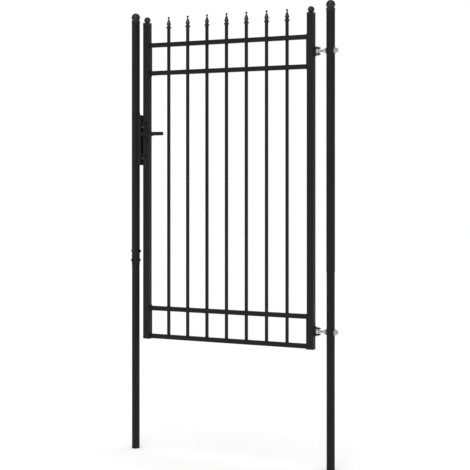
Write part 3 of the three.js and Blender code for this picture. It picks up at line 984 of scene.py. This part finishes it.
def eye_bolt(node, pin, pitch):
    """A forged eye on a threaded shaft."""
    low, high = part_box(node)
    half = (high.z - low.z) / 2
    outer, bore = (high.y - low.y) / 2, 5.3 * MM
    edge = 1.2 * MM
    profile = [
        *arc(bore + 0.5 * MM, -half + 0.5 * MM, 0.5 * MM, 180, 270, 3),
        *arc(outer - edge, -half + edge, edge, 270, 360, 4),
        *arc(outer - edge, half - edge, edge, 0, 90, 4),
        *arc(bore + 0.5 * MM, half - 0.5 * MM, 0.5 * MM, 90, 180, 3),
    ]
    eye = turned(profile, 72, closed=True)
    start = outer - 1.2 * MM
    end = high.x - pin.x
    core, crest = 5.2 * MM, 6.0 * MM
    neck = turned([(0.0, start), (7.6 * MM, start), (6.6 * MM, start + 2.5 * MM), (crest, start + 5 * MM),
                   (crest, start + 8 * MM), (core, start + 9 * MM), (core, end - 1 * MM),
                   (core - 1 * MM, end), (0.0, end)], 48)
    thread_start = start + 8.6 * MM
    height = end - 1.4 * MM - thread_start
    moved(neck, (0, 0, -thread_start))
    shaft = RULES["thread"].run(neck, "zinc_hardware", Radius=core + 0.15 * MM, Height=height,
                                Turns=height / pitch, Ridge=0.62 * MM)
    made = moved(moved(lifted(shaft), (0, 0, thread_start)), turn=ALONG_X)
    return moved(merged(eye, made), pin)


class GATE_OT_hinges(bpy.types.Operator):
    """Eye bolts with nuts and washers, clevis brackets and hinge pins"""

    bl_idname = "gate.hinges"
    bl_label = "Hinges"

    def execute(self, context):
        sizes = context.scene.gate_sizes
        for level in ("upper", "lower"):
            pin = middle(f"{level}_hinge_pin")
            axis = Vector((pin.x, 0, middle(f"{level}_eye_bolt").z))
            node = f"{level}_hinge_bracket"
            stand_in(node, bracket(node, axis), "leaf", "powder_coated_steel")
            node = f"{level}_hinge_pin"
            stand_in(node, hinge_pin(node), "leaf", "zinc_hardware")
            node = f"{level}_eye_bolt"
            stand_in(node, eye_bolt(node, axis, sizes.thread_pitch), "posts", "zinc_hardware")
            for place in ("inner", "outer"):
                node = f"{level}_eye_bolt_{place}_nut"
                low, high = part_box(node)
                made = moved(nut(high.z - low.z, high.x - low.x, 6.1 * MM), turn=ALONG_X)
                stand_in(node, moved(made, (low.x, 0, axis.z)), "posts", "zinc_hardware")
                node = f"{level}_eye_bolt_{place}_washer"
                low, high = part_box(node)
                ring = moved(washer((high.z - low.z) / 2, 6.4 * MM, high.x - low.x), turn=ALONG_X)
                stand_in(node, moved(ring, (low.x, 0, axis.z)), "posts", "zinc_hardware")
        return {"FINISHED"}


# Lock.


class GATE_OT_lock(bpy.types.Operator):
    """Bolts, profile cylinder with its plug, and the lock's fixing screws"""

    bl_idname = "gate.lock"
    bl_label = "Lock"

    def execute(self, context):
        self.bolts()
        self.cylinder()
        self.fixings()
        for node in ("lock_case", "spindle"):
            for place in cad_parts[node].material_slots:
                place.link = "OBJECT"
                place.material = MATERIALS["lock_steel"]
        return {"FINISHED"}

    def bolts(self):
        low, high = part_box("latch_bolt")
        depth = high.y - low.y
        outline = [(low.x + 0.4 * MM, high.y), (low.x, high.y - 1.2 * MM), (low.x + depth, low.y),
                   (high.x, low.y), (high.x, high.y)]
        latch = softened(prism(outline, low.z, high.z), 1.1 * MM, 3, angle=15)
        stand_in("latch_bolt", latch, "latch", "lock_steel")
        place, size = middle("deadbolt"), extent("deadbolt")
        deadbolt = softened(block(size.x, size.y, size.z, place), 1.1 * MM, 3)
        stand_in("deadbolt", deadbolt, "deadbolt", "lock_steel")

    def cylinder(self):
        plug = middle("cylinder_plug")
        half = extent("lock_cylinder").y / 2
        body = prism(cylinder_outline(), -half, half)
        body = carved(body, round_bar(6.75 * MM, -2 * half, 2 * half))
        body = across_stile(softened(body, 0.4 * MM), plug)
        stand_in("lock_cylinder", body, "leaf", "cylinder_metal")
        rod = turned([(0.0, -half), (5.9 * MM, -half), (6.5 * MM, -half + 0.6 * MM),
                      (6.5 * MM, half - 0.6 * MM), (5.9 * MM, half), (0.0, half)], 56)
        slots = []
        for end in (-half, half):
            slots.append(block(1.5 * MM, 8.4 * MM, 10 * MM, (0, -0.8 * MM, end)))
            slots.append(block(3.0 * MM, 2.2 * MM, 10 * MM, (0.6 * MM, 1.0 * MM, end)))
        rod = across_stile(carved(rod, *slots), plug)
        stand_in("cylinder_plug", rod, "key_plug", "cylinder_metal")

    def fixings(self):
        stile = middle("latch_stile")
        face = extent("latch_stile").y / 2
        for side, name in ((-1, "front"), (1, "rear")):
            screw = dome_screw(6.8 * MM, 2.2 * MM, 2.3 * MM)
            start = (stile.x, side * face, middle("deadbolt").z)
            screw_pair(f"lock_screws_{name}", screw, OUTWARDS[side], start, middle("latch_bolt").z - start[2])


# Handles.


def lever(node, spindle, root_height):
    """A cast lever: a collared hub and a blade that thins towards a blunt tip with soft corners."""
    low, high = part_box(node)
    hub_radius = root_height / 2
    face, back = -low.y, -high.y
    hub_profile = [
        (0.0, back), (hub_radius - 0.6 * MM, back), (hub_radius, back + 0.6 * MM),
        (hub_radius, back + 3.4 * MM),
        *arc(hub_radius - 0.2 * MM, back + 5.0 * MM, 1.6 * MM, 270, 180, 4),
        (hub_radius - 1.8 * MM, face - 10.5 * MM),
        *arc(hub_radius - 1.2 * MM, face - 8.6 * MM, 1.2 * MM, 240, 360, 5)[2:],
        *arc(hub_radius - 3.2 * MM, face - 3.2 * MM, 3.2 * MM, 0, 90, 8),
        (0.0, face),
    ]
    hub = moved(turned(hub_profile, 72), turn=ALONG_Y)
    reach = high.x - spindle.x
    tip_height, thickness = 16.4 * MM, 9.8 * MM
    corner, edge = 4 * MM, 2 * MM
    stations = [((reach - corner) * i / 24, 0.0) for i in range(25)]
    stations += [(reach - corner * (1 - math.sin(t)), t) for t in (math.pi / 2 * i / 8 for i in range(1, 9))]
    rings = []
    for x, t in stations:
        share = x / reach
        height = root_height + (tip_height - root_height) * share - 2 * corner * (1 - math.cos(t))
        depth = thickness * (1 - 0.1 * share) - 2 * edge * (1 - math.cos(t))
        outline = rounded_rectangle(depth, height, min(height, depth) * 0.4, 5)
        middle_y = face - thickness / 2 - 0.2 * MM * share
        rings.append([(x, middle_y + y, z) for y, z in outline])
    whole = carved(hub, skin(rings), operation="UNION")
    return moved(whole, (spindle.x, 0, spindle.z), HALF_TURN_X)


def knob(node, spindle):
    """A turned knob: a neck that flares into a short drum with a shallow grip groove."""
    low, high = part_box(node)
    radius, neck = (high.x - low.x) / 2, 7.5 * MM
    foot, face = low.y, high.y
    profile = [
        (0.0, foot), (neck - 0.5 * MM, foot), (neck, foot + 0.5 * MM), (neck, foot + 5.6 * MM),
        *arc(neck + 3.0 * MM, foot + 6.4 * MM, 3.0 * MM, 180, 125, 5),
        (radius, foot + 10.6 * MM),
        (radius, face - 8.4 * MM),
        *arc(radius + 0.2 * MM, face - 7.2 * MM, 0.9 * MM, 250, 110, 6),
        (radius, face - 6.0 * MM),
        *arc(radius - 2.2 * MM, face - 2.2 * MM, 2.2 * MM, 0, 90, 8),
        (0.0, face),
    ]
    return moved(turned(profile, 72), (spindle.x, 0, spindle.z), ALONG_Y)


class GATE_OT_handles(bpy.types.Operator):
    """The front lever, the rear knob and their plates on the latch stile"""

    bl_idname = "gate.handles"
    bl_label = "Handles"

    def execute(self, context):
        spindle = middle("spindle")
        for name, side in (("front", -1), ("rear", 1)):
            self.plate(name, side, spindle)
        made = lever("front_lever", spindle, context.scene.gate_sizes.lever_root)
        stand_in("front_lever", made, "handle", "lever_set")
        stand_in("rear_knob", knob("rear_knob", spindle), "handle", "lever_set")
        return {"FINISHED"}

    def plate(self, name, side, spindle):
        node = f"{name}_handle_plate"
        size, place = extent(node), middle(node)
        outline = rounded_rectangle(size.x, size.z, size.x / 2 - 0.01 * MM, 14)
        plate = across_stile(prism(outline, -size.y / 2, size.y / 2), place)
        bore = moved(round_bar(8 * MM, -60 * MM, 60 * MM), (spindle.x, 0, spindle.z), ALONG_Y)
        plate = softened(carved(plate, bore), 0.9 * MM, 3)
        stand_in(node, plate, "leaf", "lever_set")
        reach = 24 * MM
        start = (place.x, place.y + side * (size.y / 2 - 0.15 * MM), place.z - reach)
        screw_pair(node + "_screws", countersunk_screw(3.2 * MM), OUTWARDS[side], start, 2 * reach)


# Welds.


def rectangle_path(centre, across, up):
    """A closed path round a rectangle, from its centre and the vectors of its two sides."""
    corners = ((-1, -1), (1, -1), (1, 1), (-1, 1), (-1, -1))
    return [centre + across * (a / 2) + up * (b / 2) for a, b in corners]


class GATE_OT_welds(bpy.types.Operator):
    """Weld beads at the rails, pickets, hinge brackets and keep"""

    bl_idname = "gate.welds"
    bl_label = "Welds"

    def execute(self, context):
        bead = context.scene.gate_sizes.bead
        self.rail_ends(bead)
        self.picket_feet(bead * 0.55)
        self.brackets(bead)
        self.keep(bead)
        return {"FINISHED"}

    def bead(self, name, loops, body, width, seed):
        made = RULES["bead"].run(path_mesh(*loops), "powder_coated_steel", Width=width, Pitch=width * 0.8,
                                 Seed=seed)
        piece(name, made, body, "powder_coated_steel")

    def rail_ends(self, width):
        loops = []
        for node in RAILS:
            low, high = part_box(node)
            centre, size = (low + high) / 2, high - low
            for x in (low.x, high.x):
                place = Vector((x, centre.y, centre.z))
                loops.append(rectangle_path(place, Vector((0, size.y, 0)), Vector((0, 0, size.z))))
        self.bead("rail_end_welds", loops, "leaf", width * 0.8, 3)

    def picket_feet(self, width):
        loops = []
        side = extent("picket_1").x
        for node in RAILS:
            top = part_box(node)[1].z
            for picket in PICKETS:
                place = middle(picket)
                place.z = top
                loops.append(rectangle_path(place, Vector((side, 0, 0)), Vector((0, side, 0))))
        self.bead("picket_welds", loops, "leaf", width, 5)

    def brackets(self, width):
        loops = []
        for level in ("upper", "lower"):
            low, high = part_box(f"{level}_hinge_bracket")
            for z in (low.z, high.z):
                loops.append([(low.x, low.y + 4 * MM, z), (low.x, high.y - 4 * MM, z)])
        self.bead("hinge_bracket_welds", loops, "leaf", width, 7)

    def keep(self, width):
        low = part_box("strike_keep")[0]
        loops = []
        stitch, gap = 26 * MM, 77 * MM
        for side in (-1, 1):
            for i in range(3):
                start = low.z + 14 * MM + i * (stitch + gap)
                y = side * 5.2 * MM
                loops.append([(low.x - 0.3 * MM, y, start), (low.x - 0.3 * MM, y, start + stitch)])
        self.bead("strike_keep_welds", loops, "posts", width, 11)


# Stage.


class GATE_OT_stage(bpy.types.Operator):
    """Camera, pale floor and soft studio light"""

    bl_idname = "gate.stage"
    bl_label = "Stage"

    def execute(self, context):
        self.camera(context.scene.gate_stage)
        self.floor()
        self.light(context.scene)
        return {"FINISHED"}

    def camera(self, stage):
        data = bpy.data.cameras.new("Camera")
        data.lens = stage.lens
        data.sensor_width = 36.0
        data.shift_y = stage.rise
        camera = bpy.data.objects.new("Camera", data)
        middle_picket = middle("picket_4").x
        turn = stage.azimuth
        camera.location = (
            middle_picket + stage.aim + stage.distance * math.sin(turn),
            -stage.distance * math.cos(turn),
            stage.eye_level,
        )
        camera.rotation_euler = (math.pi / 2, 0, turn)
        bpy.context.scene.collection.objects.link(camera)
        bpy.context.scene.camera = camera

    def floor(self):
        side = 60.0
        floor = scratch(skin([[(-side, -side, 0), (side, -side, 0)], [(-side, side, 0), (side, side, 0)]],
                             closed_round=False, capped=False), "Floor")
        shader = Shader("Pale floor", Roughness=0.9, Specular_IOR_Level=0.0)
        clouds = shader.noise(0.8, 2.0)
        colour = shader.tint((0.6, 0.6, 0.6), clouds, 0.995, 1.01)
        floor.data.materials.append(shader.finish(Base_Color=colour))

    def light(self, scene):
        scene.view_settings.view_transform = "Standard"
        world = bpy.data.worlds.new("Studio")
        world.use_nodes = True
        scene.world = world
        tree = Tree(world.node_tree)
        background = world.node_tree.nodes["Background"]
        seen = tree.add("ShaderNodeLightPath", output="Is Camera Ray")
        tree.feed(background.inputs["Color"], (1.0, 1.0, 1.0, 1.0))
        tree.feed(background.inputs["Strength"], seen * 0.4 + 0.6)
        overhead = bpy.data.lights.new("Overhead", "SUN")
        overhead.energy = 3.35
        overhead.angle = math.radians(70)
        sky = bpy.data.objects.new("Overhead", overhead)
        sky.visible_glossy = False
        scene.collection.objects.link(sky)
        key = bpy.data.lights.new("Key", "AREA")
        key.size = 1.5
        key.energy = 62
        lamp = bpy.data.objects.new("Key", key)
        lamp.location = (1.03, -3.86, 5.0)
        aim = Vector((0, 0, 1.6))
        lamp.rotation_euler = (aim - lamp.location).to_track_quat("-Z", "Y").to_euler()
        scene.collection.objects.link(lamp)


# Panel.


OPERATORS = (
    GATE_OT_stage,
    GATE_OT_posts,
    GATE_OT_keep,
    GATE_OT_leaf_frame,
    GATE_OT_pickets,
    GATE_OT_hinges,
    GATE_OT_lock,
    GATE_OT_handles,
    GATE_OT_welds,
)


class GATE_PT_panel(bpy.types.Panel):
    """Buttons for the gate's pieces"""

    bl_label = "Garden Gate"
    bl_idname = "GATE_PT_panel"
    bl_space_type = "VIEW_3D"
    bl_region_type = "UI"
    bl_category = "Gate"

    def draw(self, context):
        for operator in OPERATORS:
            self.layout.operator(operator.bl_idname)


GROUPS = {"gate_sizes": GateSizes, "gate_finishes": GateFinishes, "gate_stage": GateStage}


def register():
    for name, group in GROUPS.items():
        bpy.utils.register_class(group)
        setattr(bpy.types.Scene, name, PointerProperty(type=group))
    for made in (*OPERATORS, GATE_PT_panel):
        bpy.utils.register_class(made)


def unregister():
    for made in (GATE_PT_panel, *reversed(OPERATORS)):
        bpy.utils.unregister_class(made)
    for name, group in GROUPS.items():
        delattr(bpy.types.Scene, name)
        bpy.utils.unregister_class(group)


def main():
    register()
    make_materials(bpy.context.scene.gate_finishes)
    make_rules()
    for operator in OPERATORS:
        group, name = operator.bl_idname.split(".")
        getattr(getattr(bpy.ops, group), name)()


if __name__ == "__main__":
    main()
